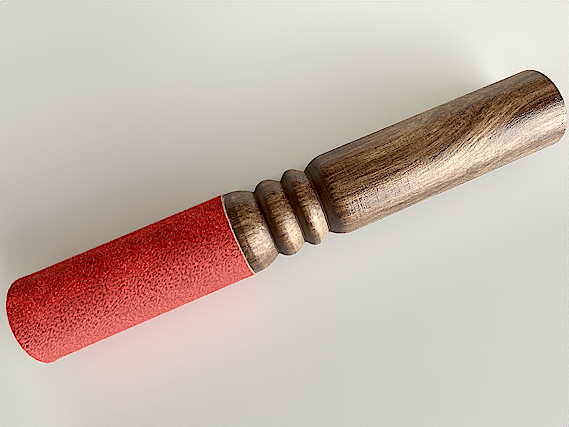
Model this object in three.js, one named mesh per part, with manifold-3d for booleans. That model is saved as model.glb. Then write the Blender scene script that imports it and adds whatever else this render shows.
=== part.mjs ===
// A singing bowl mallet, lying on its side: one lathe-turned hardwood stick whose striking end
// is wrapped in suede. Millimetres. +Z is up, and +X runs from the striking end to the butt.
// The origin is on the surface that the mallet lies on, under the middle of its length.
import * as THREE from 'three';
import { mergeVertices } from 'three/addons/utils/BufferGeometryUtils.js';
import Module from 'manifold-3d';

// Striking end: a turned core, the film of adhesive on it, and the suede round both.
const coreTipRadius = 13.25;
const coreCollarRadius = 13;
const adhesiveThickness = 0.3;
const suedeThickness = 1.1;
const bondClearance = 0.3;
const wrapLength = 75.2;

// The struck rim of the suede is spread outwards by use, and its other edge is pared thin.
const struckRimSpread = 0.35;
const struckRimLength = 4;
const paredEdgeLength = 0.5;
const paredEdgeThicknessShare = 0.45; // of the suede's thickness

// The suede's two long edges meet along a seam on the +Y side, below the horizontal.
const seamGap = 0.4;
const seamBelowHorizontal = THREE.MathUtils.degToRad(30);

// Collar: the half bead that the suede stops short of.
const wrapToCollarClearance = 0.3;
const collarRadius = 14.75;
const collarFlatLength = 1.3;
const collarFallLength = 8.7;

// Grooves and beads, from the collar towards the grip.
const grooveRootWidth = 0.4;
const firstGrooveRadius = 11.65;
const firstBeadRadius = 14;
const firstBeadRiseLength = 4.2;
const firstBeadFallLength = 5.3;
const secondGrooveRadius = 11.53;
const secondBeadRadius = 14.07;
const secondBeadRiseLength = 3.7;
const secondBeadFallLength = 4.9;
const thirdGrooveRadius = 11.48;

// The steepest slopes of the beads' flanks, on their butt side and on their striking side.
const fallSteepest = THREE.MathUtils.degToRad(36);
const riseSteepest = THREE.MathUtils.degToRad(48);

// Grip: a rounded shoulder, then a slow taper to the butt, whose rim is just eased.
const shoulderRiseLength = 7.8;
const shoulderRadius = 14.62;
const gripLength = 77.4;
const buttRadius = 14.07;
const buttRimRadius = 0.2;

// How finely round shapes are faceted.
const aroundSegments = 32;
const flankSteps = 8;
const rimSteps = 3;

// Stations along the mallet's axis, counted from the striking end.
const wrapEnd = wrapLength;
const collarFace = wrapEnd + wrapToCollarClearance;
const collarFlatEnd = collarFace + collarFlatLength;
const firstGrooveStart = collarFlatEnd + collarFallLength;
const firstGrooveEnd = firstGrooveStart + grooveRootWidth;
const firstBeadCrown = firstGrooveEnd + firstBeadRiseLength;
const secondGrooveStart = firstBeadCrown + firstBeadFallLength;
const secondGrooveEnd = secondGrooveStart + grooveRootWidth;
const secondBeadCrown = secondGrooveEnd + secondBeadRiseLength;
const thirdGrooveStart = secondBeadCrown + secondBeadFallLength;
const thirdGrooveEnd = thirdGrooveStart + grooveRootWidth;
const gripStart = thirdGrooveEnd + shoulderRiseLength;
const buttFace = gripStart + gripLength;

// Heights of the layers' walls above the core, whose taper they all follow.
const adhesiveInside = bondClearance;
const adhesiveOutside = adhesiveInside + adhesiveThickness;
const suedeInside = adhesiveOutside + bondClearance;
const suedeOutside = suedeInside + suedeThickness;

const largestRadius = Math.max(coreTipRadius + suedeOutside + struckRimSpread,
  coreCollarRadius + suedeOutside, collarRadius, firstBeadRadius, secondBeadRadius,
  shoulderRadius, buttRadius);

// A facet, not an edge, faces straight down, so the mallet lies still on it.
const facetHalfTurn = Math.PI / aroundSegments;
const axisHeight = largestRadius * Math.cos(facetHalfTurn);

function station(radius, along) {
  return new THREE.Vector2(radius, along);
}

// The core's radius at a station between the striking end and the collar.
function coreRadius(along) {
  return THREE.MathUtils.lerp(coreTipRadius, coreCollarRadius, along / collarFace);
}

function layerStation(height, along) {
  return station(coreRadius(along) + height, along);
}

function turned(profile) {
  return new THREE.LatheGeometry(profile, aroundSegments, facetHalfTurn);
}

// Stations along an arc that starts level at a crown and turns through a sweep.
function arcFromCrown(crownRadius, crownAlong, drop, run, sweep) {
  const stations = [];
  for (let step = 0; step <= flankSteps; step++) {
    const angle = (sweep * step) / flankSteps;
    stations.push(station(
      crownRadius - (drop * (1 - Math.cos(angle))) / (1 - Math.cos(sweep)),
      crownAlong + (run * Math.sin(angle)) / Math.sin(sweep),
    ));
  }
  return stations;
}

// Stations down a bead's flank, from its level crown to a groove. The flank is a circular arc,
// which goes on straight once it is as steep as it may be. A flank that is too deep for that
// is one arc, which turns through a right angle at most.
function flank(crownRadius, crownAlong, grooveRadius, grooveAlong, steepest) {
  const run = grooveAlong - crownAlong;
  const length = Math.abs(run);
  const drop = crownRadius - grooveRadius;
  const wholeArc = 2 * Math.atan2(drop, length);
  if (wholeArc <= steepest || drop >= length * Math.tan(steepest)) {
    const sweep = Math.min(wholeArc, Math.PI / 2);
    return arcFromCrown(crownRadius, crownAlong, drop, run, sweep);
  }
  const arcRadius = (length * Math.tan(steepest) - drop)
    / (Math.sin(steepest) * Math.tan(steepest) - (1 - Math.cos(steepest)));
  const arcRun = Math.sign(run) * arcRadius * Math.sin(steepest);
  const arcDrop = arcRadius * (1 - Math.cos(steepest));
  return [
    ...arcFromCrown(crownRadius, crownAlong, arcDrop, arcRun, steepest),
    station(grooveRadius, grooveAlong),
  ];
}

// A bead's flank on its butt side, from the crown down to the next groove.
function fallingFlank(crownRadius, crownAlong, grooveRadius, grooveAlong) {
  return flank(crownRadius, crownAlong, grooveRadius, grooveAlong, fallSteepest);
}

// A bead's flank on its striking side, climbed from the groove to the crown.
function risingFlank(grooveRadius, grooveAlong, crownRadius, crownAlong) {
  return flank(crownRadius, crownAlong, grooveRadius, grooveAlong, riseSteepest).reverse();
}

// The eased rim where the grip meets the flat butt.
function buttRim() {
  const stations = [];
  for (let step = 0; step <= rimSteps; step++) {
    const angle = ((Math.PI / 2) * step) / rimSteps;
    stations.push(station(
      buttRadius - buttRimRadius * (1 - Math.cos(angle)),
      buttFace - buttRimRadius * (1 - Math.sin(angle)),
    ));
  }
  return stations;
}

// The suede's outer wall where use has spread it, fading out over the struck rim's length.
function struckRim() {
  const stations = [];
  for (let step = 0; step <= rimSteps; step++) {
    const fade = 1 - step / rimSteps;
    stations.push(layerStation(suedeOutside + struckRimSpread * fade ** 2,
      struckRimLength * (1 - fade)));
  }
  return stations;
}

// One stick of hardwood, turned from end to end: core, collar, two beads and the grip.
function turnedBodyGeometry() {
  return turned([
    station(0, 0),
    station(coreTipRadius, 0),
    station(coreCollarRadius, collarFace),
    station(collarRadius, collarFace),
    ...fallingFlank(collarRadius, collarFlatEnd, firstGrooveRadius, firstGrooveStart),
    ...risingFlank(firstGrooveRadius, firstGrooveEnd, firstBeadRadius, firstBeadCrown),
    ...fallingFlank(firstBeadRadius, firstBeadCrown, secondGrooveRadius,
      secondGrooveStart).slice(1),
    ...risingFlank(secondGrooveRadius, secondGrooveEnd, secondBeadRadius, secondBeadCrown),
    ...fallingFlank(secondBeadRadius, secondBeadCrown, thirdGrooveRadius,
      thirdGrooveStart).slice(1),
    ...risingFlank(thirdGrooveRadius, thirdGrooveEnd, shoulderRadius, gripStart),
    ...buttRim(),
    station(0, buttFace),
  ]);
}

// The film of contact adhesive between the core and the suede.
function adhesiveGeometry() {
  return turned([
    layerStation(adhesiveInside, 0),
    layerStation(adhesiveOutside, 0),
    layerStation(adhesiveOutside, wrapEnd),
    layerStation(adhesiveInside, wrapEnd),
    layerStation(adhesiveInside, 0),
  ]);
}

// A closed tube of suede, before its seam is opened.
function suedeTubeGeometry() {
  const paredEdge = suedeInside + suedeThickness * paredEdgeThicknessShare;
  return turned([
    layerStation(suedeInside, 0),
    ...struckRim(),
    layerStation(suedeOutside, wrapEnd - paredEdgeLength),
    layerStation(paredEdge, wrapEnd),
    layerStation(suedeInside, wrapEnd),
    layerStation(suedeInside, 0),
  ]);
}

// A blade through the suede's wall along its whole length, turned to where the seam is.
function seamCutterGeometry() {
  const reach = largestRadius;
  const cutter = new THREE.BoxGeometry(reach, 2 * wrapLength, seamGap);
  cutter.translate(reach / 2 + suedeInside, wrapLength / 2, 0);
  return cutter.rotateY(Math.PI - seamBelowHorizontal);
}

const wasm = await Module();
wasm.setup();

function solidOf(geometry) {
  const bare = geometry.clone();
  bare.deleteAttribute('normal');
  bare.deleteAttribute('uv');
  const merged = mergeVertices(bare);
  return new wasm.Manifold(new wasm.Mesh({
    numProp: 3,
    vertProperties: new Float32Array(merged.attributes.position.array),
    triVerts: new Uint32Array(merged.index.array),
  }));
}

function geometryOf(solid) {
  const mesh = solid.getMesh();
  const geometry = new THREE.BufferGeometry();
  geometry.setAttribute('position', new THREE.BufferAttribute(mesh.vertProperties, 3));
  geometry.setIndex(new THREE.BufferAttribute(mesh.triVerts, 1));
  geometry.computeVertexNormals();
  return geometry;
}

// The suede is one flat strip wrapped once round the core, so its long edges meet at a seam.
function suedeWrapGeometry() {
  return geometryOf(solidOf(suedeTubeGeometry()).subtract(solidOf(seamCutterGeometry())));
}

const hardwood = new THREE.MeshStandardMaterial({
  color: 0x86613f, roughness: 0.42, metalness: 0,
});
const driedAdhesive = new THREE.MeshStandardMaterial({
  color: 0xd9c79a, roughness: 0.5, metalness: 0,
});
const redSuede = new THREE.MeshStandardMaterial({
  color: 0xb83a32, roughness: 0.95, metalness: 0,
});

function piece(name, geometry, material) {
  const mesh = new THREE.Mesh(geometry, material);
  mesh.name = name;
  return mesh;
}

// The lathe turns its profiles round Y, so the stick is laid down with that axis along +X.
const stick = new THREE.Group();
stick.add(
  piece('turned_body', turnedBodyGeometry(), hardwood),
  piece('adhesive_film', adhesiveGeometry(), driedAdhesive),
  piece('suede_wrap', suedeWrapGeometry(), redSuede),
);
stick.rotation.z = -Math.PI / 2;
stick.position.set(-buttFace / 2, 0, axisHeight);

const mallet = new THREE.Group();
mallet.add(stick);

export default mallet;
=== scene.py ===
# The looks of a singing bowl mallet: a turned, oiled hardwood stick whose striking end is
# wrapped in red suede. It lies on a pale floor, in window light. Metres, in the CAD's frame.
import math

import bmesh
import bpy
import numpy as np
from mathutils import Matrix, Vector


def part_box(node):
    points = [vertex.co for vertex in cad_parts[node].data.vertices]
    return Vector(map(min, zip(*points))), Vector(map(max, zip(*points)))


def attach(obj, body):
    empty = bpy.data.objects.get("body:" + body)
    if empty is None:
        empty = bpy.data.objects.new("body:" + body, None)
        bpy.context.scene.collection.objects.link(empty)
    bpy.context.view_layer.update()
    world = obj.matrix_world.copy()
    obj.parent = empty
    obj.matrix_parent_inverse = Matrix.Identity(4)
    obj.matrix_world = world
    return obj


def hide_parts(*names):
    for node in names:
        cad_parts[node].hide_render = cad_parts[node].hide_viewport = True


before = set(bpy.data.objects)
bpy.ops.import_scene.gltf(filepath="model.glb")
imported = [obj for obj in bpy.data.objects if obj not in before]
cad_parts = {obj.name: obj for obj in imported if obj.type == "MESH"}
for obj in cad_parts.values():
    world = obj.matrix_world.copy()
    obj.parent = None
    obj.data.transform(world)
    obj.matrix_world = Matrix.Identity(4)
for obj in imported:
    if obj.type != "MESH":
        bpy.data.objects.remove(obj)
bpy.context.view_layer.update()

MM = 0.001

# Where the CAD says that the mallet is
body_low, body_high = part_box("turned_body")
wrap_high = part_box("suede_wrap")[1]
TIP_X = body_low.x
BUTT_X = body_high.x
AXIS_Z = (body_low.z + body_high.z) / 2
WRAP_END_X = wrap_high.x

# Turned wood: radii, and lengths along the mallet, from the collar to the butt
CORE_TIP_RADIUS = 13.25 * MM
CORE_COLLAR_RADIUS = 13 * MM
COLLAR_CLEARANCE = 0.3 * MM
COLLAR_RADIUS = 14.75 * MM
COLLAR_FLAT = 1.3 * MM
COLLAR_FALL = 8.7 * MM
GROOVE_ROOT = 0.4 * MM
FIRST_GROOVE_RADIUS = 11.65 * MM
FIRST_BEAD_RADIUS = 14 * MM
FIRST_BEAD_RISE = 4.2 * MM
FIRST_BEAD_FALL = 5.3 * MM
SECOND_GROOVE_RADIUS = 11.53 * MM
SECOND_BEAD_RADIUS = 14.07 * MM
SECOND_BEAD_RISE = 3.7 * MM
SECOND_BEAD_FALL = 4.9 * MM
THIRD_GROOVE_RADIUS = 11.48 * MM
FALL_STEEPEST = math.radians(36)
RISE_STEEPEST = math.radians(48)
SHOULDER_RISE = 7.8 * MM
SHOULDER_RADIUS = 14.62 * MM
BUTT_RADIUS = 14.07 * MM
RIM_EASING = 0.2 * MM
FLANK_STEPS = 20
WOOD_STEPS_ROUND = 192

# Suede: a strip wrapped round the core
GLUE_OUTSIDE = 0.6 * MM
SUEDE_OUTSIDE = 2 * MM
NAP_REACH = 0.2 * MM
NAP_HEIGHT = 0.12 * MM
STRUCK_RIM_SPREAD = 0.35 * MM
STRUCK_RIM_LENGTH = 4 * MM
PARED_LENGTH = 0.5 * MM
PARED_DEPTH = 0.6 * MM
PARED_SHOULDER = 0.35
SEAM_ANGLE = math.radians(90 + 30)
SEAM_DEPTH = 0.35 * MM
SEAM_HALF_WIDTH = 0.22 * MM
SUEDE_STEPS_ALONG = 268
SUEDE_STEPS_ROUND = 344
NAP_CELL = 0.2 * MM

# The nap's clumps: how many there are in a millimetre, how evenly, and how they slant
CLUMPS_PER_MM = 1.6
CLUMP_SPREAD = 0.5
CLUMP_SLANT = math.radians(38)
CLUMP_STRETCH = 3.2
BRUSHED_SLANT = math.radians(33)

# The tufts and the creases for each clump, and how much all three shape the nap, within limits
TUFTS_PER_CLUMP = 1.6
CREASES_PER_CLUMP = 0.7
CREASE_NARROWNESS = 2.4
CLUMP_SHARE = 0.8
TUFT_SHARE = 0.75
CREASE_SHARE = 1.2
NAP_LIMITS = (-2.6, 2)

# Loose fibres: how many, how long, how thick, and how far they lift off the face, in degrees
NAP_FIBRES = 42000
NAP_FIBRE_LENGTH = (0.3 * MM, 0.85 * MM)
NAP_FIBRE_RADIUS = 0.028 * MM
NAP_FIBRE_LIFT = (5, 20)
FUZZ_FIBRES = 24000
FUZZ_FIBRE_LENGTH = (0.3 * MM, 1 * MM)
FUZZ_FIBRE_RADIUS = 0.034 * MM
FUZZ_FIBRE_LIFT = (18, 60)
STRAY_HAIRS = 1100
STRAY_HAIR_LENGTH = (0.7 * MM, 1.8 * MM)
STRAY_HAIR_RADIUS = 0.065 * MM
STRAY_HAIR_LIFT = (6, 20)
EDGE_FIBRES = 800
EDGE_FIBRE_LENGTH = (0.5 * MM, 2.3 * MM)
EDGE_FIBRE_RADIUS = 0.07 * MM

# How the fibres on the face vary, and how deep they are rooted, in their own radii
FIBRE_THICKNESSES = (0.7, 1.3)
FIBRE_LEAN_SPREAD = 0.5
FIBRE_BEND_SPREAD = 0.25
FIBRE_ROOTING = 2.2
TURNED_AT_RIM = 1.5 * MM

# The fuzz on the two sides: its share, where it is, and how much paler its tips are there, as
# painted rim light
FUZZ_ON_SIDES = 0.14
SIDE_ANGLE = math.radians(85)
SIDE_SPREAD = 0.12
SIDE_RIM_LIGHT = 0.7
SIDE_NARROWNESS = 40

# The fibres of the two cut edges: the collar's share, and how they vary
AT_COLLAR_SHARE = 0.62
EDGE_FIBRE_DEPTH = 0.5 * MM
EDGE_FIBRE_HEADING = (0.25, 1)
EDGE_FIBRE_SIDEWAYS = 0.8
EDGE_FIBRE_RISE = (0.25, 0.9)
EDGE_FIBRE_CURL = 0.45
EDGE_FIBRE_SAG = 0.12
EDGE_FIBRE_THICKNESSES = (0.5, 1.2)

# The camera, as a pinhole fitted to the photograph's outline of the mallet
PHOTO_WIDTH = 569
FOCAL_PIXELS = 439.51
SENSOR_WIDTH = 36 * MM
CAMERA_X = -5.737 * MM
CAMERA_ABOVE_AXIS = 154.12 * MM
CAMERA_PITCH = 0.0032
CAMERA_YAW = -0.0223
CAMERA_ROLL = 0.4002

# Points this close are one, and a turned wedge is doubled so often
WELD = 0.001 * MM
WEDGE_DOUBLINGS = 3

# Wood colours, from pores and dark streaks to the palest fibres
WOOD_TONES = [
    (0.00, (0.02, 0.008, 0.005)),
    (0.20, (0.088, 0.041, 0.024)),
    (0.42, (0.165, 0.085, 0.046)),
    (0.62, (0.268, 0.152, 0.083)),
    (0.82, (0.41, 0.265, 0.155)),
    (1.00, (0.58, 0.43, 0.29)),
]

# The wood's grain, in millimetres: between which places along X it is led across, how far,
# and how much farther for each millimetre higher up
GRAIN_LEAN_X = (37, 92)
GRAIN_LEAN = 12
GRAIN_FANNING = 0.3

# How the grain wanders: its swings in a millimetre along X, Y and Z, and how far it goes
GRAIN_SWAY = ((0.015, 0.04, 0.04), 5)
GRAIN_RIPPLE = ((0.07, 0.2, 0.2), 0.8)

# The wood's layers: whether each follows the grain, its swings in a millimetre along X, Y and
# Z, its roughness, and how much it changes the tone and the height
WOOD_LAYERS = {
    "bands": (True, (0.008, 0.14, 0.14), 0.6, 0.95, 0),
    "streaks": (True, (0.022, 0.85, 0.85), 0.6, 0.95, 0),
    "lines": (True, (0.1, 2, 2), 0.7, 0.95, 1),
    "fibres": (True, (0.5, 4, 4), 0.6, 0.6, 0.4),
    "mottle": (False, (2.1, 2.4, 2.4), 0.6, 0.8, 0.6),
    "turning": (False, (1.9, 0.06, 0.06), 0.6, 0.25, 0.7),
}
WOOD_TONE = 0.58
WOOD_ROUGHNESS = 0.2
LEAST_ROUGHNESS = 0.17
LINE_ROUGHNESS = 0.2
WOOD_RELIEF = 0.13 * MM

# Open pores: their swings in a millimetre, from which value on they are open, and what they
# do to the tone, the roughness and the height
PORE_SWINGS = (0.45, 2.3, 2.3)
PORE_OPENS = (0.55, 0.7)
PORE_TONE = -0.1
PORE_ROUGHNESS = 0.15
PORE_DEPTH = -0.15

# Painted light on the window side: the wood's tone over Y, in millimetres: where each change
# starts and is full
WOOD_PAINTED_LIGHT = [(0, -7, 0.08), (-8.5, -10.2, -0.13), (-11.3, -12.8, 0.1)]

# Painted shade on the beads' back, away from the window, by X and Y, and the wood's duller back,
# by Y
BEADS_PAINTED_SHADE_X = (34, 20)
BEADS_PAINTED_SHADE_Y = (3, 11)
BEADS_PAINTED_SHADE_TONE = -0.22
DULL_BACK_Y = (7, 12)
DULL_BACK_ROUGHNESS = 0.25

# Single streaks in the wood, in millimetres: where each one starts, is full, begins to fade
# and ends along X, its place across the grain, its half width, and how it changes the tone
WOOD_STREAKS = [
    ((7, 14, 24, 34), 6, 1.7, -0.18),
    ((24, 32, 46, 60), 6.3, 2.2, 0.22),
    ((6, 12, 30, 42), -1, 2.4, -0.2),
    ((44, 52, 66, 78), -3, 3, -0.26),
    ((66, 76, 99, 110), -11.2, 3.2, -0.24),
    ((30, 44, 66, 80), -6.6, 4.2, 0.26),
    ((40, 50, 60, 70), 4, 3, 0.14),
    ((-19, -18, -12, -9), -3, 5, 0.2),
    ((12, 20, 50, 62), 8.5, 7, 0.13),
]
STREAK_Z = (0, 5)

# The stain on the collar beside the suede, in millimetres from its face, and the darkest grain
COLLAR_STAIN_X = (3.4, 2.4)
COLLAR_STAIN_TONE = -0.36
DARKEST_GRAIN = 0.14

# Each groove, in millimetres: how far dark oil and painted shade reach up the flank after it,
# and how far and how much the flank before it is painted pale as a painted highlight
GROOVE_OIL_SHADE_AND_HIGHLIGHT = [(4.8, 6.6, 0.06), (4.3, 4.7, 0.32), (6.5, 4.5, 0.42)]
OIL_AND_SHADE_FULL_SHARE = 0.25
OIL_AND_SHADE_BEFORE_GROOVE = (0.35, 0.05)
OIL_AND_SHADE_TONE = -0.9
OIL_AND_SHADE_ROUGHNESS = 0.35
PAINTED_HIGHLIGHT_FADE = 0.8
PAINTED_HIGHLIGHT_STOPS = 0.4
PAINTED_HIGHLIGHT_Y = (2, -7)
PAINTED_HIGHLIGHT_ROUGHNESS = 0.2
GRIME_TURNING = 0.7
GRIME_LINES = 0.5
GRIME_TONE = 0.06

# The sawn ends: the tree's heart, in millimetres, which their growth rings go round, the
# rings' waves and swings, and the tone
HEART = (0, -9, -27)
RING_WAVES = ((1, 0.12, 0.12), 2.5)
RING_SWINGS = (0.75, 1, 1)
RING_TONE = 1.7
END_MOTTLE_TONE = 0.7
END_TONE = 0.42
END_ROUGHNESS = 0.3
END_DEPTHS = (0.12, 0.04)

# Glue: its colours, its mottle's swings in a millimetre, and its relief
GLUE_DARK = (0.3, 0.17, 0.07, 1)
GLUE_PALE = (0.62, 0.43, 0.22, 1)
GLUE_SWINGS = (0.8, 0.8, 0.8)
GLUE_RELIEF = 0.1 * MM

# Suede colours: painted shade on the far side, brushed flat, and painted light on the window side
SHADED_FLAT_NAP_LOW = (0.2, 0.002, 0.003, 1)
SHADED_FLAT_NAP_HIGH = (0.95, 0.05, 0.05, 1)
PALE_FLECK = (1, 0.44, 0.42, 1)
LIT_RAISED_NAP_LOW = (0.33, 0.011, 0.014, 1)
LIT_RAISED_NAP_HIGH = (0.98, 0.25, 0.22, 1)
CUT_EDGE = (1, 0.86, 0.76, 1)

# The suede's brush strokes, speckle, bends, patches and pale flecks, in swings in a millimetre
STROKE_SWINGS = (0.7, 2.8, 1)
SPECKLE_SWINGS = (2.4, 2.4, 2.4)
BEND_SWINGS = (0.5, 1.1, 1)
PATCH_SWINGS = (0.1, 0.12, 0.12)
PALE_FLECK_SWINGS = (1.3, 2.8, 1)
CREASE_HALF_WIDTH = 0.05
SUEDE_RELIEF = 0.4 * MM

# Where the window side's painted light is, with its raised nap: over which Y, in millimetres, how
# far patches, strokes and speckle move that, and how much of it the under side keeps, which is
# painted as shade
LIT_RAISED_Y = (9, -7)
PATCH_DRIFT = 6
STROKE_DRIFT = 38
SPECKLE_DRIFT = 6
UNDER_SIDE_SHADE_Z = (-9, 2)
UNDER_SIDE_LIT_RAISED = 0.35

# How strokes, speckle, patches and creases change the suede's level; creases darken it as painted
# shade
STROKE_LEVEL = 4
SPECKLE_LEVEL = 1
PATCH_LEVEL = 0.6
CREASE_PAINTED_SHADE = -0.2
SUEDE_LEVEL = 0.05

# Calmer levels: the flat nap's, with painted rim light at its far edge, and the window side's
# painted light
CALM_GAIN = 0.62
CALM_LEVEL = 0.16
CALM_PATCHES = 1.1
FAR_EDGE_RIM_LIGHT_Y = (10, 15)
FAR_EDGE_RIM_LIGHT_LEVEL = 0.3
WINDOW_SIDE_LIGHT_Y = (-2, -14)
WINDOW_SIDE_LIGHT_GAIN = 0.55
WINDOW_SIDE_LIGHT_LEVEL = 0.41
PALE_FLECK_OPENS = (0.64, 0.71)
PALE_FLECK_PATCHES = 0.3

# The pale cut edges: how the one at the collar wanders, and how deep both are, in millimetres
EDGE_WANDER = ((0.1, 0.9, 0.9), 0.8)
COLLAR_CUT = (0.45, 0.2)
TIP_CUT = (0.03, 0.01)
TIP_CUT_SHARE = 0.8

# Fibre colours: at the root, and at the tips of the darkest and the palest fibre
RED_NAP = ((0.6, 0.02, 0.02, 1), (0.75, 0.06, 0.055, 1), (1, 0.34, 0.29, 1))
PALE_FUZZ = ((0.85, 0.16, 0.13, 1), (1, 0.3, 0.25, 1), (1, 0.84, 0.76, 1))
PALE_HAIR = ((0.95, 0.4, 0.36, 1), (1, 0.55, 0.5, 1), (1, 0.88, 0.83, 1))
UNDYED_FIBRE = ((1, 0.82, 0.7, 1), (1, 0.86, 0.76, 1), (1, 0.97, 0.92, 1))

# Floor colours: two plain ones that smudges mix, a painted pool of light, and a painted pink
# bounce from the suede
FLOOR_HALF_SIDE = 3
FLOOR_DULL = (0.61, 0.632, 0.65, 1)
FLOOR_CLEAN = (0.655, 0.677, 0.695, 1)
FLOOR_PAINTED_LIGHT = (0.74, 0.768, 0.778, 1)
FLOOR_PAINTED_BOUNCE = (0.735, 0.655, 0.68, 1)
SMUDGE_SWINGS = (0.009, 0.009, 0.009)

# Where the floor's painted pool of light and painted pink bounce are, in millimetres
LIGHT_LEAN = 0.7
NEAR_LIGHT = (60, 125)
BY_SUEDE_COLLAR_X = (-5, -35)
BY_SUEDE_TIP_X = (-118, -82)
BY_SUEDE_NEAR_Y = (-70, -14)
BY_SUEDE_FAR_Y = (6, -6)

# Painted light: the floor's glow, where the room would throw light back, by places in millimetres
THROWN_BACK = (1, 0.98, 0.84, 1)
BESIDE_X = (130, 96)
BEHIND_Y = (9, 17)
PAST_ENDS_Y = (-40, 40)
ALONG_GRIP_X = (104, 90)
ALONG_MALLET_Y = (34, 15)
ALONG_MALLET_LIGHT = 0.11
FAR_SIDE_X = (-60, 30)
FAR_SIDE_LIGHT = (0.01, 0.13)
FARTHER_Y = (35, 80)
FARTHER_LIGHT = 0.09
FARTHEST_Y = (80, 115)
FARTHEST_LIGHT = 0.05
PAST_TIP_X = (-96, -120)
PAST_TIP_LIGHT = 0.12
IN_FRONT_STARTS_Y = (-9, -15)
IN_FRONT_FADES_Y = (-60, -20)
IN_FRONT_LIGHT = 0.08
THROWN_BACK_REACH = (420, 150)

# How far the window is, and the light's colours
WINDOW_DISTANCE = 1.5
WINDOW_LIGHT = (0.95, 0.97, 1)
LOW_WINDOW_LIGHT = (0.97, 0.97, 1)
CEILING_LIGHT = (1, 0.88, 0.7)
ROOM_LIGHT = (0.12, 0.1, 0.07, 1)

# How much the photograph was sharpened, and its black point
SHARPENING = 0.7
BLACK_POINT = (0.014, 0.018, 0.018)


# Small helpers

def finish_mesh(name, bm, material, smooth_below=math.radians(35)):
    """A mesh object from a bmesh, smooth but for its sharp corners."""
    mesh = bpy.data.meshes.new(name)
    bm.to_mesh(mesh)
    bm.free()
    mesh.shade_smooth()
    mesh.set_sharp_from_angle(angle=smooth_below)
    mesh.materials.append(material)
    piece = bpy.data.objects.new(name, mesh)
    bpy.context.scene.collection.objects.link(piece)
    return piece


def lathe(profile, steps, closed=False):
    """A surface turned round the mallet's axis from (x, radius) points.

    One wedge is spun, then doubled until it closes, which is faster than one full spin."""
    bm = bmesh.new()
    verts = [bm.verts.new((x, 0, AXIS_Z + radius)) for x, radius in profile]
    following = verts[1:] + verts[:1] if closed else verts[1:]
    edges = [bm.edges.new(pair) for pair in zip(verts, following)]
    wedge = 2 * math.pi / 2 ** WEDGE_DOUBLINGS
    bmesh.ops.spin(bm, geom=verts + edges, cent=(0, 0, AXIS_Z), axis=(1, 0, 0),
                   angle=wedge, steps=steps // 2 ** WEDGE_DOUBLINGS)
    for doubling in range(WEDGE_DOUBLINGS):
        copied = bmesh.ops.duplicate(bm, geom=bm.verts[:] + bm.edges[:] + bm.faces[:])
        bmesh.ops.rotate(bm, cent=(0, 0, AXIS_Z),
                         verts=[item for item in copied["geom"]
                                if isinstance(item, bmesh.types.BMVert)],
                         matrix=Matrix.Rotation(wedge * 2 ** doubling, 3, "X"))
    bmesh.ops.remove_doubles(bm, verts=bm.verts, dist=WELD)
    bmesh.ops.recalc_face_normals(bm, faces=bm.faces)
    return bm


def material_nodes(name):
    """A new material, its node tree and its Principled shader."""
    material = bpy.data.materials.new(name)
    material.use_nodes = True
    return material, material.node_tree, material.node_tree.nodes["Principled BSDF"]


def feed(tree, socket, value):
    """Links a socket to another node's output, or sets its value."""
    if isinstance(value, bpy.types.NodeSocket):
        tree.links.new(value, socket)
    else:
        socket.default_value = value


def node(tree, kind, sockets, output=0, **settings):
    """Adds a node, feeds its named or numbered sockets and returns one of its outputs."""
    added = tree.nodes.new(kind)
    for setting, value in settings.items():
        setattr(added, setting, value)
    for name, value in sockets.items():
        feed(tree, added.inputs[name], value)
    return added.outputs[output]


def reckon(tree, operation, *values):
    """One step of arithmetic on values."""
    return node(tree, "ShaderNodeMath", dict(enumerate(values)), operation=operation)


def total(tree, *values):
    """The sum of several values."""
    result = values[0]
    for value in values[1:]:
        result = reckon(tree, "ADD", result, value)
    return result


def times(tree, *values):
    """The product of several values."""
    result = values[0]
    for value in values[1:]:
        result = reckon(tree, "MULTIPLY", result, value)
    return result


def swing(tree, value, gain):
    """A noise's swing about its middle, times a gain."""
    return reckon(tree, "MULTIPLY_ADD", value, gain, -0.5 * gain)


def mixed(tree, share, low, high):
    """A value between low and high."""
    return total(tree, low, times(tree, share, reckon(tree, "SUBTRACT", high, low)))


def blended(tree, share, low, high):
    """A colour between low and high."""
    return node(tree, "ShaderNodeMix", {0: share, 6: low, 7: high}, output=2,
                data_type="RGBA")


def eased(tree, value, start, end, low=0, high=1):
    """A value that goes smoothly from low to high as another goes from start to end."""
    return node(tree, "ShaderNodeMapRange",
                {"Value": value, "From Min": start, "From Max": end, "To Min": low,
                 "To Max": high}, interpolation_type="SMOOTHSTEP")


def noise(tree, place, scale, detail=2, roughness=0.5):
    """Noise with so many swings in a millimetre along each axis."""
    placed = node(tree, "ShaderNodeMapping", {"Vector": place, "Scale": scale})
    return node(tree, "ShaderNodeTexNoise",
                {"Vector": placed, "Scale": 1, "Detail": detail, "Roughness": roughness})


def place_on_axis(tree):
    """Object coordinates in millimetres, counted from the mallet's axis, and their parts."""
    own = node(tree, "ShaderNodeTexCoord", {}, output=3)
    place = node(tree, "ShaderNodeMapping",
                 {"Vector": own, "Location": (0, 0, -AXIS_Z / MM), "Scale": (1 / MM,) * 3})
    parts = node(tree, "ShaderNodeSeparateXYZ", {0: place}).node.outputs
    return place, parts


def colour_ramp(tree, value, stops):
    """A colour from a table of (position, colour)."""
    ramp = node(tree, "ShaderNodeValToRGB", {0: value})
    elements = ramp.node.color_ramp.elements
    for _ in stops[2:]:
        elements.new(1)
    for element, (position, colour) in zip(elements, stops):
        element.position = position
        element.color = (*colour, 1)
    return ramp


def give_relief(tree, shader, height, strength, distance):
    """Bumps on a material's surface."""
    bump = node(tree, "ShaderNodeBump", {"Height": height, "Strength": strength,
                                         "Distance": distance})
    tree.links.new(bump, shader.inputs["Normal"])


# Turned wood

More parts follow.
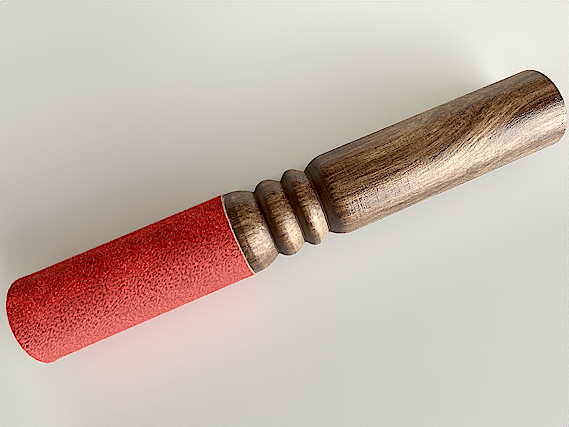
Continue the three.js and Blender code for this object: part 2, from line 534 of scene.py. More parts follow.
def flank(crown, groove):
    """Points from a bead's level crown down to a groove, each as (x, radius).

    They are on an arc, which goes on straight once it is as steep as it may be."""
    run = groove[0] - crown[0]
    drop = crown[1] - groove[1]
    steepest = FALL_STEEPEST if run > 0 else RISE_STEEPEST
    sweep = 2 * math.atan2(drop, abs(run))
    arc_radius = drop / (1 - math.cos(sweep))
    if sweep > steepest:
        sweep = steepest
        arc_radius = ((abs(run) * math.tan(steepest) - drop)
                      / (math.sin(steepest) * math.tan(steepest) - 1 + math.cos(steepest)))
    points = []
    for step in range(FLANK_STEPS + 1):
        angle = sweep * step / FLANK_STEPS
        points.append((
            crown[0] + math.copysign(arc_radius * math.sin(angle), run),
            crown[1] - arc_radius * (1 - math.cos(angle)),
        ))
    if sweep == steepest:
        points.append(groove)
    return points


def wood_profile():
    """The stick's outline, from the centre of the striking end to the centre of the butt."""
    collar_face = WRAP_END_X + COLLAR_CLEARANCE
    first_groove = collar_face + COLLAR_FLAT + COLLAR_FALL
    first_bead = first_groove + GROOVE_ROOT + FIRST_BEAD_RISE
    second_groove = first_bead + FIRST_BEAD_FALL
    second_bead = second_groove + GROOVE_ROOT + SECOND_BEAD_RISE
    third_groove = second_bead + SECOND_BEAD_FALL
    shoulder = third_groove + GROOVE_ROOT + SHOULDER_RISE
    collar_crown = (collar_face + COLLAR_FLAT, COLLAR_RADIUS)
    first_crown = (first_bead, FIRST_BEAD_RADIUS)
    second_crown = (second_bead, SECOND_BEAD_RADIUS)
    shoulder_crown = (shoulder, SHOULDER_RADIUS)
    return [
        (TIP_X, 0),
        (TIP_X, CORE_TIP_RADIUS),
        (collar_face, CORE_COLLAR_RADIUS),
        (collar_face, COLLAR_RADIUS),
        *flank(collar_crown, (first_groove, FIRST_GROOVE_RADIUS)),
        *flank(first_crown, (first_groove + GROOVE_ROOT, FIRST_GROOVE_RADIUS))[::-1],
        *flank(first_crown, (second_groove, SECOND_GROOVE_RADIUS))[1:],
        *flank(second_crown, (second_groove + GROOVE_ROOT, SECOND_GROOVE_RADIUS))[::-1],
        *flank(second_crown, (third_groove, THIRD_GROOVE_RADIUS))[1:],
        *flank(shoulder_crown, (third_groove + GROOVE_ROOT, THIRD_GROOVE_RADIUS))[::-1],
        (BUTT_X, BUTT_RADIUS),
        (BUTT_X, 0),
    ]


def grooves_with_painted_light():
    """Where each groove is along X, in millimetres, with its oil, painted shade and painted
    highlight.
    """
    first = WRAP_END_X + COLLAR_CLEARANCE + COLLAR_FLAT + COLLAR_FALL
    second = first + GROOVE_ROOT + FIRST_BEAD_RISE + FIRST_BEAD_FALL
    third = second + GROOVE_ROOT + SECOND_BEAD_RISE + SECOND_BEAD_FALL
    return [(groove_x / MM, *wear) for groove_x, wear in zip((first, second, third), GROOVE_OIL_SHADE_AND_HIGHLIGHT)]


def ring_edges(bm, x, radius):
    """The edges of the ring that a profile point made."""
    def on_ring(vert):
        across = math.hypot(vert.co.y, vert.co.z - AXIS_Z)
        return abs(vert.co.x - x) < WELD and abs(across - radius) < WELD
    return [edge for edge in bm.edges if all(on_ring(vert) for vert in edge.verts)]


def turned_wood(material):
    """The one-piece stick, with its rims eased."""
    profile = wood_profile()
    bm = lathe(profile, WOOD_STEPS_ROUND)
    rims = [(BUTT_X, BUTT_RADIUS), (WRAP_END_X + COLLAR_CLEARANCE, COLLAR_RADIUS)]
    for x, radius in rims:
        bmesh.ops.bevel(bm, geom=ring_edges(bm, x, radius), offset=RIM_EASING, segments=3,
                        profile=0.5, affect="EDGES", material=-1)
    piece = finish_mesh("turned_wood", bm, material)
    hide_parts("turned_body")
    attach(piece, "root")
    return piece


def grain_place(tree, place, parts):
    """Places in the wood, straightened so that the grain runs along X everywhere."""
    lean = reckon(tree, "MULTIPLY_ADD", parts[1], GRAIN_FANNING, GRAIN_LEAN)
    leaned = reckon(tree, "SUBTRACT", parts[1],
                    times(tree, lean, eased(tree, parts[0], *GRAIN_LEAN_X)))
    sway, ripple = (swing(tree, noise(tree, place, swings, detail=1), reach)
                    for swings, reach in (GRAIN_SWAY, GRAIN_RIPPLE))
    return node(tree, "ShaderNodeCombineXYZ",
                {0: parts[0], 1: total(tree, leaned, sway, ripple),
                 2: total(tree, parts[2], ripple)})


def end_grain(tree, place, mottle, pore):
    """The tone of the sawn ends: growth rings round the tree's heart, and pores as dots."""
    flattened = node(tree, "ShaderNodeMapping", {"Vector": place, "Scale": (0, 1, 1)})
    from_heart = node(tree, "ShaderNodeVectorMath", {0: flattened, 1: HEART}, output=1,
                      operation="DISTANCE")
    waves, reach = RING_WAVES
    wavy = total(tree, from_heart, swing(tree, noise(tree, flattened, waves), reach))
    rings = noise(tree, node(tree, "ShaderNodeCombineXYZ", {0: wavy}), RING_SWINGS, detail=3,
                  roughness=0.7)
    return total(tree, swing(tree, rings, RING_TONE), swing(tree, mottle, END_MOTTLE_TONE),
                 times(tree, pore, PORE_TONE), END_TONE)


def streaked(tree, tone, grain, parts):
    """The wood's tone with its single streaks, which only the upper half has."""
    across = node(tree, "ShaderNodeSeparateXYZ", {0: grain}).node.outputs[1]
    for along, across_grain, half_width, change in WOOD_STREAKS:
        off = reckon(tree, "ABSOLUTE", reckon(tree, "SUBTRACT", across, across_grain))
        near = times(tree, eased(tree, off, half_width, 0),
                     eased(tree, parts[0], along[0], along[1]),
                     eased(tree, parts[0], along[3], along[2]),
                     eased(tree, parts[2], *STREAK_Z))
        tone = reckon(tree, "MULTIPLY_ADD", near, change, tone)
    return tone


def oil_shade_and_highlight(tree, tone, rough, parts):
    """The wood's tone and roughness, with dark oil and painted shade past each groove and a
    painted highlight on the flank before.
    """
    for groove_x, reach, facet, highlight_paling in grooves_with_painted_light():
        # Dark oil in the groove, and painted shade up the flank past it, which faces away from
        # the window
        oil_and_shade = times(tree,
                     eased(tree, parts[0], groove_x + reach, groove_x + OIL_AND_SHADE_FULL_SHARE * reach),
                     eased(tree, parts[0], groove_x - OIL_AND_SHADE_BEFORE_GROOVE[0],
                           groove_x - OIL_AND_SHADE_BEFORE_GROOVE[1]))
        tone = reckon(tree, "MULTIPLY_ADD", oil_and_shade, OIL_AND_SHADE_TONE, tone)
        rough = reckon(tree, "MULTIPLY_ADD", oil_and_shade, OIL_AND_SHADE_ROUGHNESS, rough)
        # A painted highlight on the window side of the flank before the groove
        painted_highlight = times(tree,
                       eased(tree, parts[0], groove_x - facet, groove_x - facet + PAINTED_HIGHLIGHT_FADE),
                       eased(tree, parts[0], groove_x, groove_x - PAINTED_HIGHLIGHT_STOPS),
                       eased(tree, parts[1], *PAINTED_HIGHLIGHT_Y))
        tone = reckon(tree, "MULTIPLY_ADD", painted_highlight, highlight_paling, tone)
        rough = reckon(tree, "MULTIPLY_ADD", painted_highlight, PAINTED_HIGHLIGHT_ROUGHNESS, rough)
    return tone, rough


def wood_material():
    """Oiled hardwood: growth bands, streaks, fine fibres and open pores along the grain."""
    material, tree, shader = material_nodes("oiled_hardwood")
    place, parts = place_on_axis(tree)
    grain = grain_place(tree, place, parts)
    layers = {name: noise(tree, grain if follows_grain else place, swings, roughness=roughness)
              for name, (follows_grain, swings, roughness, _, _) in WOOD_LAYERS.items()}
    pore = eased(tree, noise(tree, grain, PORE_SWINGS, detail=1), *PORE_OPENS)
    # Painted shade on the beads' back, away from the window
    beads_painted_shade = times(tree, eased(tree, parts[0], *BEADS_PAINTED_SHADE_X),
                        eased(tree, parts[1], *BEADS_PAINTED_SHADE_Y))
    grown = [swing(tree, layers[name], change)
             for name, (_, _, _, change, _) in WOOD_LAYERS.items()]
    # Painted light on the window side, over Y
    shades = [eased(tree, parts[1], start, full, high=change)
              for start, full, change in WOOD_PAINTED_LIGHT]
    tone = total(tree, *grown, times(tree, beads_painted_shade, BEADS_PAINTED_SHADE_TONE), *shades, WOOD_TONE)
    tone = reckon(tree, "MULTIPLY_ADD", pore, PORE_TONE, tone)
    tone = streaked(tree, tone, grain, parts)
    collar_x = (WRAP_END_X + COLLAR_CLEARANCE) / MM
    stain = eased(tree, parts[0], *(collar_x + reach for reach in COLLAR_STAIN_X))
    tone = reckon(tree, "MULTIPLY_ADD", stain, COLLAR_STAIN_TONE, tone)
    tone = reckon(tree, "MAXIMUM", tone, DARKEST_GRAIN)
    rough = total(tree, times(tree, pore, PORE_ROUGHNESS),
                  swing(tree, layers["lines"], LINE_ROUGHNESS), WOOD_ROUGHNESS)
    tone, rough = oil_shade_and_highlight(tree, tone, rough, parts)
    grime = total(tree, swing(tree, layers["turning"], GRIME_TURNING),
                  swing(tree, layers["lines"], GRIME_LINES), GRIME_TONE)
    tone = reckon(tree, "MAXIMUM", tone, grime)
    at_ends = reckon(tree, "MAXIMUM",
                     eased(tree, parts[0], *(BUTT_X / MM - depth for depth in END_DEPTHS)),
                     eased(tree, parts[0], *(TIP_X / MM + depth for depth in END_DEPTHS)))
    tone = mixed(tree, at_ends, tone, end_grain(tree, place, layers["mottle"], pore))
    rough = total(tree, rough, times(tree, at_ends, END_ROUGHNESS),
                  eased(tree, parts[1], *DULL_BACK_Y, high=DULL_BACK_ROUGHNESS))
    tree.links.new(colour_ramp(tree, tone, WOOD_TONES), shader.inputs["Base Color"])
    tree.links.new(reckon(tree, "MAXIMUM", rough, LEAST_ROUGHNESS), shader.inputs["Roughness"])
    shader.inputs["IOR"].default_value = 1.78
    shader.inputs["Specular IOR Level"].default_value = 0.84
    shader.inputs["Specular Tint"].default_value = (1, 0.94, 0.84, 1)
    ridges = [swing(tree, layers[name], height)
              for name, (_, _, _, _, height) in WOOD_LAYERS.items() if height]
    give_relief(tree, shader, total(tree, times(tree, pore, PORE_DEPTH), *ridges),
                strength=0.7, distance=WOOD_RELIEF)
    return material


# Glue between the core and the suede

def core_radius(x):
    """The core's radius under the suede, which tapers towards the collar."""
    share = (x - TIP_X) / (WRAP_END_X + COLLAR_CLEARANCE - TIP_X)
    return CORE_TIP_RADIUS + (CORE_COLLAR_RADIUS - CORE_TIP_RADIUS) * share


def glue_film(material):
    """The film of dried adhesive, which fills the space between the core and the suede."""
    profile = [
        (TIP_X, core_radius(TIP_X)),
        (TIP_X, core_radius(TIP_X) + GLUE_OUTSIDE),
        (WRAP_END_X, core_radius(WRAP_END_X) + GLUE_OUTSIDE),
        (WRAP_END_X, core_radius(WRAP_END_X)),
    ]
    piece = finish_mesh("glue_film", lathe(profile, WOOD_STEPS_ROUND, closed=True), material)
    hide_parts("adhesive_film")
    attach(piece, "root")
    return piece


def glue_material():
    """Dried contact adhesive: amber, a little uneven, with a dull gloss."""
    material, tree, shader = material_nodes("dried_glue")
    mottle = noise(tree, place_on_axis(tree)[0], GLUE_SWINGS, detail=3)
    tree.links.new(blended(tree, mottle, GLUE_DARK, GLUE_PALE), shader.inputs["Base Color"])
    shader.inputs["Roughness"].default_value = 0.38
    give_relief(tree, shader, mottle, strength=0.5, distance=GLUE_RELIEF)
    return material


# Suede

def nap_field(seed):
    """Heights of the napped surface on a grid, along by around, that repeats in both ways.

    They are slanting clumps with creases between them, in standard deviations."""
    length = WRAP_END_X - TIP_X
    girth = 2 * math.pi * (CORE_TIP_RADIUS + SUEDE_OUTSIDE)
    shape = (round(length / NAP_CELL), round(girth / NAP_CELL))
    random = np.random.default_rng(seed)
    along = np.fft.fftfreq(shape[0], NAP_CELL / MM)[:, None]
    around = np.fft.rfftfreq(shape[1], NAP_CELL / MM)[None, :]
    with_slant = along * math.cos(CLUMP_SLANT) + around * math.sin(CLUMP_SLANT)
    over_slant = along * math.sin(CLUMP_SLANT) - around * math.cos(CLUMP_SLANT)
    frequency = np.hypot(with_slant * CLUMP_STRETCH, over_slant)

    def swell(per_clump):
        grains = np.fft.rfft2(random.standard_normal(shape))
        off = (frequency - CLUMPS_PER_MM * per_clump) / CLUMP_SPREAD
        swells = np.fft.irfft2(grains * np.exp(-off ** 2), s=shape)
        return swells / swells.std()

    clumps = swell(1)
    tufts = swell(TUFTS_PER_CLUMP)
    creases = 1 - np.exp(-CREASE_NARROWNESS * np.abs(swell(CREASES_PER_CLUMP)))
    field = (CLUMP_SHARE * clumps + TUFT_SHARE * tufts
             + CREASE_SHARE * (creases - creases.mean()))
    field = np.clip(field / field.std(), *NAP_LIMITS)
    return field - field.mean()


def sample(field, x, angle):
    """The field's value at places on the suede, between its grid points."""
    rows, columns = field.shape
    row = (x - TIP_X) / (WRAP_END_X - TIP_X) * rows
    column = angle / (2 * math.pi) * columns
    row_low = np.floor(row).astype(int)
    column_low = np.floor(column).astype(int)
    down = row - row_low
    right = column - column_low
    corners = [field[(row_low + i) % rows, (column_low + j) % columns]
               for i in (0, 1) for j in (0, 1)]
    return ((corners[0] * (1 - right) + corners[1] * right) * (1 - down)
            + (corners[2] * (1 - right) + corners[3] * right) * down)


def suede_radius(x):
    """The suede's mean outer radius, spread a little at the struck rim."""
    fade = np.clip(1 - (x - TIP_X) / STRUCK_RIM_LENGTH, 0, 1)
    return core_radius(x) + SUEDE_OUTSIDE - NAP_REACH + STRUCK_RIM_SPREAD * fade ** 2


def nap_height(field, x, angle):
    """How far the napped face stands above its mean radius, less so at the pared edge."""
    pared = np.clip((WRAP_END_X - x) / (2 * PARED_LENGTH), 0, 1)
    off_seam = (angle - SEAM_ANGLE) * suede_radius(x)
    return (sample(field, x, angle) * NAP_HEIGHT * pared
            - SEAM_DEPTH * np.exp(-(off_seam / SEAM_HALF_WIDTH) ** 2))


def suede_sleeve(material, field):
    """The wrapped strip: a napped outer face, a pared edge at the collar and a butt seam."""
    outer = [(x, suede_radius(x)) for x in
             np.linspace(TIP_X, WRAP_END_X - PARED_LENGTH, SUEDE_STEPS_ALONG + 1)]
    profile = [
        (TIP_X, core_radius(TIP_X) + GLUE_OUTSIDE),
        *outer,
        (WRAP_END_X - PARED_LENGTH / 2, suede_radius(WRAP_END_X) - PARED_DEPTH * PARED_SHOULDER),
        (WRAP_END_X, suede_radius(WRAP_END_X) - PARED_DEPTH),
        (WRAP_END_X, core_radius(WRAP_END_X) + GLUE_OUTSIDE),
    ]
    bm = lathe(profile, SUEDE_STEPS_ROUND, closed=True)
    piece = finish_mesh("suede_sleeve", bm, material, smooth_below=math.radians(80))
    mesh = piece.data
    spots = np.empty(len(mesh.vertices) * 3)
    mesh.vertices.foreach_get("co", spots)
    spots = spots.reshape(-1, 3)
    x = spots[:, 0]
    across = np.hypot(spots[:, 1], spots[:, 2] - AXIS_Z)
    angle = np.arctan2(spots[:, 1], spots[:, 2] - AXIS_Z)
    on_face = across > suede_radius(x) - PARED_DEPTH / 2
    height = nap_height(field, x, angle) * on_face
    spots[:, 1] = np.sin(angle) * (across + height)
    spots[:, 2] = AXIS_Z + np.cos(angle) * (across + height)
    mesh.vertices.foreach_set("co", spots.ravel())
    # The nap attribute is low in the hollows between clumps, where the suede's colour paints
    # shade
    nap = mesh.attributes.new("nap", "FLOAT", "POINT")
    nap.data.foreach_set("value", np.clip(0.5 + height / (4 * NAP_HEIGHT), 0, 1)
                         .astype(np.float32))
    mesh.update()
    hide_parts("suede_wrap")
    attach(piece, "root")
    return piece


def unrolled_place(tree, place):
    """Places on the suede in millimetres along it and round it, cut open at its seam."""
    opened = node(tree, "ShaderNodeMapping",
                  {"Vector": place, "Rotation": (SEAM_ANGLE - math.pi, 0, 0)})
    parts = node(tree, "ShaderNodeSeparateXYZ", {0: opened}).node.outputs
    angle = reckon(tree, "ARCTAN2", parts[1], parts[2])
    around = times(tree, angle, (CORE_TIP_RADIUS + SUEDE_OUTSIDE) / MM)
    return node(tree, "ShaderNodeCombineXYZ", {0: parts[0], 1: around})


def cut_edges(tree, place, parts):
    """How much of the suede is its pale, undyed inside, which shows at both cut edges."""
    swings, reach = EDGE_WANDER
    from_end = total(tree, parts[0], swing(tree, noise(tree, place, swings, detail=3), reach))
    at_collar = eased(tree, from_end, *(WRAP_END_X / MM - depth for depth in COLLAR_CUT))
    at_tip = eased(tree, parts[0], *(TIP_X / MM + depth for depth in TIP_CUT))
    return reckon(tree, "MAXIMUM", at_collar, times(tree, at_tip, TIP_CUT_SHARE))


def suede_material():
    """Red suede: painted shade between its clumps and in its creases, painted light on the window
    side and painted shade on the far and under sides, pale at its cuts.
    """
    material, tree, shader = material_nodes("red_suede")
    place, parts = place_on_axis(tree)
    nap = node(tree, "ShaderNodeAttribute", {}, output=2, attribute_name="nap")
    brushed = node(tree, "ShaderNodeMapping", {"Vector": unrolled_place(tree, place),
                                               "Rotation": (0, 0, -BRUSHED_SLANT)})
    strokes = noise(tree, brushed, STROKE_SWINGS, roughness=0.65)
    speckle = noise(tree, place, SPECKLE_SWINGS, roughness=0.6)
    bends = noise(tree, brushed, BEND_SWINGS, detail=1)
    crease = eased(tree, reckon(tree, "ABSOLUTE", swing(tree, bends, 1)), CREASE_HALF_WIDTH, 0)
    patches = noise(tree, place, PATCH_SWINGS, detail=3, roughness=0.6)
    drift = total(tree, parts[1], swing(tree, patches, PATCH_DRIFT),
                  swing(tree, strokes, STROKE_DRIFT), swing(tree, speckle, SPECKLE_DRIFT))
    # Painted light on the window side, and painted shade on the under side
    lit_raised = times(tree, eased(tree, drift, *LIT_RAISED_Y),
                   eased(tree, parts[2], *UNDER_SIDE_SHADE_Z, low=UNDER_SIDE_LIT_RAISED))
    # The nap attribute and the creases darken the level as painted shade in the hollows
    level = total(tree, nap, swing(tree, strokes, STROKE_LEVEL),
                  swing(tree, speckle, SPECKLE_LEVEL), swing(tree, patches, PATCH_LEVEL),
                  times(tree, crease, CREASE_PAINTED_SHADE), SUEDE_LEVEL)
    level = node(tree, "ShaderNodeClamp", {0: level})
    # A painted rim light at the far edge
    calm_level = total(tree, reckon(tree, "MULTIPLY_ADD", level, CALM_GAIN, CALM_LEVEL),
                       swing(tree, patches, CALM_PATCHES),
                       eased(tree, parts[1], *FAR_EDGE_RIM_LIGHT_Y, high=FAR_EDGE_RIM_LIGHT_LEVEL))
    flecks = total(tree, noise(tree, brushed, PALE_FLECK_SWINGS, detail=1),
                   swing(tree, patches, PALE_FLECK_PATCHES))
    shaded_flat_nap = blended(tree, calm_level, SHADED_FLAT_NAP_LOW, SHADED_FLAT_NAP_HIGH)
    shaded_flat_nap = blended(tree, eased(tree, flecks, *PALE_FLECK_OPENS), shaded_flat_nap, PALE_FLECK)
    # Painted light: the window side's level is raised and calmed
    lit_raised_level = mixed(tree, eased(tree, parts[1], *WINDOW_SIDE_LIGHT_Y), level,
                         reckon(tree, "MULTIPLY_ADD", level, WINDOW_SIDE_LIGHT_GAIN, WINDOW_SIDE_LIGHT_LEVEL))
    lit_raised_nap = blended(tree, lit_raised_level, LIT_RAISED_NAP_LOW, LIT_RAISED_NAP_HIGH)
    dyed = blended(tree, lit_raised, shaded_flat_nap, lit_raised_nap)
    tree.links.new(blended(tree, cut_edges(tree, place, parts), dyed, CUT_EDGE),
                   shader.inputs["Base Color"])
    shader.inputs["Roughness"].default_value = 0.95
    shader.inputs["Specular IOR Level"].default_value = 0.2
    shader.inputs["Sheen Weight"].default_value = 0.32
    shader.inputs["Sheen Roughness"].default_value = 0.4
    shader.inputs["Sheen Tint"].default_value = (1, 0.42, 0.46, 1)
    height = total(tree, strokes, swing(tree, speckle, 0.5), times(tree, crease, -0.15))
    give_relief(tree, shader, height, strength=1, distance=SUEDE_RELIEF)
    return material


def fibre_shape(cuts):
    """The points and triangles of one thin cone, of unit length and radius, up Z."""
    bm = bmesh.new()
    bmesh.ops.create_cone(bm, cap_ends=True, cap_tris=True, segments=3, radius1=1, radius2=0,
                          depth=1)
    bmesh.ops.translate(bm, verts=bm.verts, vec=(0, 0, 0.5))
    bmesh.ops.remove_doubles(bm, verts=bm.verts, dist=WELD)
    for cut in range(1, cuts + 1):
        bmesh.ops.bisect_plane(bm, geom=bm.verts[:] + bm.edges[:] + bm.faces[:], dist=WELD,
                               plane_co=(0, 0, cut / (cuts + 1)), plane_no=(0, 0, 1))
    bmesh.ops.triangulate(bm, faces=bm.faces)
    bmesh.ops.recalc_face_normals(bm, faces=bm.faces)
    points = np.array([vert.co[:] for vert in bm.verts])
    triangles = np.array([[vert.index for vert in face.verts] for face in bm.faces])
    bm.free()
    return points, triangles


def strewn_fibres(name, shape, roots, ways, bends, radii, shades, material):
    """One mesh of many fibres, each from its root along its way, bent towards its end."""
    points, triangles = shape
    lengths = np.linalg.norm(ways, axis=1, keepdims=True)
    up = ways / lengths
    helper = np.where(np.abs(up[:, :1]) < 0.7, [[1.0, 0, 0]], [[0, 1.0, 0]])
    side = np.cross(helper, up)
    side /= np.linalg.norm(side, axis=1, keepdims=True)
    over = np.cross(up, side)
    spots = (roots[:, None, :]
             + side[:, None, :] * (points[:, 0][None, :, None] * radii[:, None, None])
             + over[:, None, :] * (points[:, 1][None, :, None] * radii[:, None, None])
             + ways[:, None, :] * points[:, 2][None, :, None]
             + bends[:, None, :] * points[:, 2][None, :, None] ** 2)
    count, each = len(roots), len(points)
    corners = (triangles[None] + (np.arange(count) * each)[:, None, None]).reshape(-1, 3)
    mesh = bpy.data.meshes.new(name)
    mesh.vertices.add(count * each)
    mesh.vertices.foreach_set("co", spots.ravel())
    mesh.loops.add(corners.size)
    mesh.loops.foreach_set("vertex_index", corners.ravel())
    mesh.polygons.add(len(corners))
    mesh.polygons.foreach_set("loop_start", np.arange(0, corners.size, 3))
    mesh.update(calc_edges=True)
    mesh.validate()
    mesh.shade_smooth()
    tip = mesh.attributes.new("tip", "FLOAT", "POINT")
    tip.data.foreach_set("value", np.tile(points[:, 2], count).astype(np.float32))
    shade = mesh.attributes.new("shade", "FLOAT", "POINT")
    shade.data.foreach_set("value", np.repeat(shades, each).astype(np.float32))
    mesh.materials.append(material)
    piece = bpy.data.objects.new(name, mesh)
    bpy.context.scene.collection.objects.link(piece)
    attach(piece, "root")
    return piece


def face_axes(angle):
    """The outward and the sideways directions at angles round the suede."""
    nought = np.zeros_like(angle)
    outward = np.stack([nought, np.sin(angle), np.cos(angle)], axis=1)
    around = np.stack([nought, np.cos(angle), -np.sin(angle)], axis=1)
    return outward, around


def rooted(x, outward, level):
    """Places at distances from the mallet's axis."""
    roots = outward * level[:, None]
    roots[:, 0] = x
    roots[:, 2] += AXIS_Z
    return roots


def face_fibres(name, field, seed, count, lengths, radius, lift, material, on_sides=0):
    """Fibres that stand out of the napped face, most of them leaning along its slant.

    A share of them is kept for the two sides, whose fibres get paler tips as a painted rim light."""
    random = np.random.default_rng(seed)
    x = random.uniform(TIP_X, WRAP_END_X - PARED_LENGTH, count)
    angle = random.uniform(-math.pi, math.pi, count)
    sides = np.copysign(random.normal(SIDE_ANGLE, SIDE_SPREAD, count), angle)
    angle = np.where(random.uniform(0, 1, count) < on_sides, sides, angle)
    outward, around = face_axes(angle)
    level = suede_radius(x) + nap_height(field, x, angle)
    roots = rooted(x, outward, level - FIBRE_ROOTING * radius)
    lean = BRUSHED_SLANT + random.normal(0, FIBRE_LEAN_SPREAD, count)
    rise = np.radians(random.uniform(*lift, count))
    length = random.uniform(*lengths, count)
    flat = np.cos(lean)[:, None] * [[1.0, 0, 0]] + np.sin(lean)[:, None] * around
    off_rim = np.clip((x - TIP_X) / TURNED_AT_RIM, 0, 1)[:, None]
    flat = flat * off_rim + [[-1.0, 0, 0]] * (1 - off_rim)
    ways = (outward * np.sin(rise)[:, None] + flat * np.cos(rise)[:, None]) * length[:, None]
    bends = random.normal(0, FIBRE_BEND_SPREAD, (count, 3)) * length[:, None]
    # Painted rim light: fibres on the two sides get paler tips
    rim_light = SIDE_RIM_LIGHT * np.abs(np.sin(angle)) ** SIDE_NARROWNESS
    return strewn_fibres(name, fibre_shape(cuts=0), roots, ways, bends,
                         radius * random.uniform(*FIBRE_THICKNESSES, count),
                         np.clip(random.uniform(0, 1, count) + rim_light, 0, 1), material)


def cut_edge_fibres(material):
    """Pale fibres that stray from the two cut edges, over the collar and off the tip."""
    random = np.random.default_rng(11)
    count = EDGE_FIBRES
    at_collar = random.uniform(0, 1, count) < AT_COLLAR_SHARE
    angle = random.uniform(-math.pi, math.pi, count)
    outward, around = face_axes(angle)
    depth = random.uniform(0, EDGE_FIBRE_DEPTH, count)
    x = np.where(at_collar, WRAP_END_X - depth, TIP_X + depth * 0.1)
    level = np.where(at_collar, COLLAR_RADIUS + depth * 0.2, suede_radius(TIP_X) - depth * 1.2)
    shortest, longest = EDGE_FIBRE_LENGTH
    length = shortest + (longest - shortest) * random.uniform(0, 1, count) ** 2
    heading = np.where(at_collar, 1.0, -1.0) * random.uniform(*EDGE_FIBRE_HEADING, count)
    sideways = random.normal(0, EDGE_FIBRE_SIDEWAYS, count)
    rise = random.uniform(*EDGE_FIBRE_RISE, count)
    ways = (heading[:, None] * [[1.0, 0, 0]] + sideways[:, None] * around
            + rise[:, None] * outward)
    ways *= (length / np.linalg.norm(ways, axis=1))[:, None]
    curl = (around * random.normal(0, EDGE_FIBRE_CURL, count)[:, None]
            - outward * EDGE_FIBRE_SAG)
    return strewn_fibres("cut_edge_fibres", fibre_shape(cuts=3), rooted(x, outward, level),
                         ways, curl * length[:, None],
                         EDGE_FIBRE_RADIUS * random.uniform(*EDGE_FIBRE_THICKNESSES, count),
                         random.uniform(0, 1, count), material)


def fibre_material(name, root, tip_dark, tip_pale):
    """A fibre's colour goes from its root to its tip, and each one's tip is its own."""
    material, tree, shader = material_nodes(name)
    along = node(tree, "ShaderNodeAttribute", {}, output=2, attribute_name="tip")
    own = node(tree, "ShaderNodeAttribute", {}, output=2, attribute_name="shade")
    tip = blended(tree, own, tip_dark, tip_pale)
    tree.links.new(blended(tree, along, root, tip), shader.inputs["Base Color"])
    shader.inputs["Roughness"].default_value = 0.65
    shader.inputs["Specular IOR Level"].default_value = 0.6
    return material


def suede(field):
    """The suede with its loose fibres."""
    sleeve = suede_sleeve(suede_material(), field)
    nap = face_fibres("nap_fibres", field, 5, NAP_FIBRES, NAP_FIBRE_LENGTH, NAP_FIBRE_RADIUS,
                      NAP_FIBRE_LIFT, fibre_material("red_nap", *RED_NAP))
    fuzz = face_fibres("fuzz_fibres", field, 7, FUZZ_FIBRES, FUZZ_FIBRE_LENGTH,
                       FUZZ_FIBRE_RADIUS, FUZZ_FIBRE_LIFT,
                       fibre_material("pale_fuzz", *PALE_FUZZ), on_sides=FUZZ_ON_SIDES)
    hairs = face_fibres("stray_hairs", field, 13, STRAY_HAIRS, STRAY_HAIR_LENGTH,
                        STRAY_HAIR_RADIUS, STRAY_HAIR_LIFT,
                        fibre_material("pale_hair", *PALE_HAIR))
    edges = cut_edge_fibres(fibre_material("undyed_fibre", *UNDYED_FIBRE))


# Floor, light and camera

def floor_colour(tree, place, parts):
    """The floor's colour: smudged, with a painted pool of light towards the window and a painted
    pink bounce beside the suede.
    """
    smudge = noise(tree, place, SMUDGE_SWINGS, detail=3)
    towards_light = reckon(tree, "MULTIPLY_ADD", parts[1], LIGHT_LEAN, parts[0])
    plain = blended(tree, smudge, FLOOR_DULL, FLOOR_CLEAN)
    # A painted pool of light towards the window
    plain = blended(tree, eased(tree, towards_light, *NEAR_LIGHT), plain, FLOOR_PAINTED_LIGHT)
    # A painted pink bounce from the suede
    painted_bounce = times(tree, eased(tree, parts[0], *BY_SUEDE_COLLAR_X),
                     eased(tree, parts[1], *BY_SUEDE_NEAR_Y),
                     eased(tree, parts[1], *BY_SUEDE_FAR_Y),
                     eased(tree, parts[0], *BY_SUEDE_TIP_X))
    return blended(tree, painted_bounce, plain, FLOOR_PAINTED_BOUNCE)


def light_thrown_back(tree, place, parts):
    """Painted light: the floor glows where the room would throw light back round the mallet, but
    not under it.
    """
    beside = eased(tree, reckon(tree, "ABSOLUTE", parts[0]), *BESIDE_X)
    behind = mixed(tree, beside, eased(tree, parts[1], *PAST_ENDS_Y),
                   eased(tree, parts[1], *BEHIND_Y))
    along_mallet = times(tree, beside, eased(tree, parts[0], *ALONG_GRIP_X),
                         eased(tree, parts[1], *ALONG_MALLET_Y, high=ALONG_MALLET_LIGHT))
    far_side = total(tree, eased(tree, parts[0], *FAR_SIDE_X, *FAR_SIDE_LIGHT),
                     eased(tree, parts[1], *FARTHER_Y, high=FARTHER_LIGHT),
                     eased(tree, parts[1], *FARTHEST_Y, high=FARTHEST_LIGHT))
    past_tip = eased(tree, parts[0], *PAST_TIP_X, high=PAST_TIP_LIGHT)
    in_front = times(tree, beside, eased(tree, parts[1], *IN_FRONT_STARTS_Y),
                     eased(tree, parts[1], *IN_FRONT_FADES_Y, high=IN_FRONT_LIGHT))
    light = total(tree, in_front, past_tip,
                  times(tree, behind, total(tree, along_mallet, far_side)))
    distance = node(tree, "ShaderNodeVectorMath", {0: place}, output=1, operation="LENGTH")
    light = times(tree, light, eased(tree, distance, *THROWN_BACK_REACH))
    return blended(tree, light, (0, 0, 0, 1), THROWN_BACK)


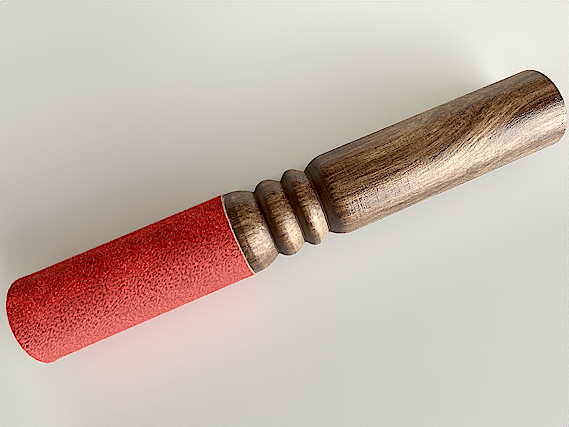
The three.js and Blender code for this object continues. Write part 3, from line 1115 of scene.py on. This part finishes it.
def floor():
    """A pale floor under the two rings that the mallet lies on: the suede's edge and the butt."""
    edge_z = AXIS_Z - suede_radius(WRAP_END_X)
    butt_z = AXIS_Z - BUTT_RADIUS
    slope = (butt_z - edge_z) / (BUTT_X - WRAP_END_X)
    bm = bmesh.new()
    bmesh.ops.create_grid(bm, x_segments=1, y_segments=1, size=FLOOR_HALF_SIDE)
    bmesh.ops.rotate(bm, verts=bm.verts, cent=(0, 0, 0),
                     matrix=Matrix.Rotation(-math.atan(slope), 3, "Y"))
    bmesh.ops.translate(bm, verts=bm.verts, vec=(0, 0, edge_z - slope * WRAP_END_X))
    material, tree, shader = material_nodes("pale_floor")
    place, parts = place_on_axis(tree)
    tree.links.new(floor_colour(tree, place, parts), shader.inputs["Base Color"])
    # Painted light: the floor's own emission
    tree.links.new(light_thrown_back(tree, place, parts), shader.inputs["Emission Color"])
    shader.inputs["Emission Strength"].default_value = 1
    shader.inputs["Roughness"].default_value = 0.55
    piece = finish_mesh("floor", bm, material)


def window(name, azimuths, elevations, radiance, colour=WINDOW_LIGHT):
    """An upright window that fills a range of azimuths from +X, and of elevations, in degrees."""
    middle = math.radians(sum(azimuths) / 2)
    width = 2 * WINDOW_DISTANCE * math.tan(math.radians(azimuths[1] - azimuths[0]) / 2)
    low, high = (WINDOW_DISTANCE * math.tan(math.radians(elevation))
                 for elevation in elevations)
    light = bpy.data.lights.new(name, "AREA")
    light.shape = "RECTANGLE"
    light.size = width
    light.size_y = high - low
    light.color = colour
    light.energy = radiance * math.pi * width * (high - low)
    lamp = bpy.data.objects.new(name, light)
    lamp.location = (WINDOW_DISTANCE * math.cos(middle), WINDOW_DISTANCE * math.sin(middle),
                     (low + high) / 2)
    lamp.rotation_euler = (math.radians(90), 0, middle + math.radians(90))
    bpy.context.scene.collection.objects.link(lamp)


def ceiling(height, side, radiance):
    """A square of warm light that the ceiling throws back."""
    light = bpy.data.lights.new("ceiling", "AREA")
    light.shape = "SQUARE"
    light.size = side
    light.color = CEILING_LIGHT
    light.energy = radiance * math.pi * side ** 2
    lamp = bpy.data.objects.new("ceiling", light)
    lamp.visible_glossy = False
    lamp.location = (0, 0, height)
    bpy.context.scene.collection.objects.link(lamp)


def lighting():
    """A dim room, a window with low panes in two parts, and the ceiling."""
    world = bpy.data.worlds.new("room")
    bpy.context.scene.world = world
    world.use_nodes = True
    background = world.node_tree.nodes["Background"]
    background.inputs["Color"].default_value = ROOM_LIGHT
    background.inputs["Strength"].default_value = 1
    window("window", azimuths=(-80, -42), elevations=(9, 54.5), radiance=3.9)
    window("window_right", azimuths=(-42, -12), elevations=(9, 50), radiance=4)
    window("low_panes", azimuths=(-80, -46), elevations=(0.5, 8.5), radiance=2.4)
    window("low_panes_right", azimuths=(-46, -4), elevations=(0.5, 8.5), radiance=4.6,
           colour=LOW_WINDOW_LIGHT)
    ceiling(height=1, side=1.4, radiance=1.04)


def camera():
    """A pinhole above the mallet that sees it as the photograph does."""
    data = bpy.data.cameras.new("camera")
    data.sensor_width = SENSOR_WIDTH / MM
    data.lens = FOCAL_PIXELS / PHOTO_WIDTH * SENSOR_WIDTH / MM
    data.clip_start = 0.01
    view = bpy.data.objects.new("camera", data)
    tilt = Matrix.Rotation(CAMERA_YAW, 3, "Y") @ Matrix.Rotation(CAMERA_PITCH, 3, "X")
    turned = tilt @ Matrix.Rotation(-CAMERA_ROLL, 3, "Z")
    view.matrix_world = (Matrix.Translation((CAMERA_X, 0, AXIS_Z + CAMERA_ABOVE_AXIS))
                         @ turned.to_4x4())
    bpy.context.scene.collection.objects.link(view)
    bpy.context.scene.camera = view


def photographic_finish():
    """The contrast and the crispness that the photograph was given."""
    scene = bpy.context.scene
    scene.view_settings.view_transform = "Standard"
    scene.view_settings.use_curve_mapping = True
    scene.view_settings.curve_mapping.black_level = BLACK_POINT
    scene.view_settings.curve_mapping.update()
    scene.use_nodes = True
    tree = scene.node_tree
    tree.nodes.clear()
    picture = tree.nodes.new("CompositorNodeRLayers")
    crisp = tree.nodes.new("CompositorNodeFilter")
    crisp.filter_type = "SHARPEN_DIAMOND"
    crisp.inputs["Fac"].default_value = SHARPENING
    finished = tree.nodes.new("CompositorNodeComposite")
    tree.links.new(picture.outputs["Image"], crisp.inputs["Image"])
    tree.links.new(crisp.outputs["Image"], finished.inputs["Image"])


turned_wood(wood_material())
glue_film(glue_material())
suede(nap_field(seed=1))
floor()
lighting()
camera()
photographic_finish()
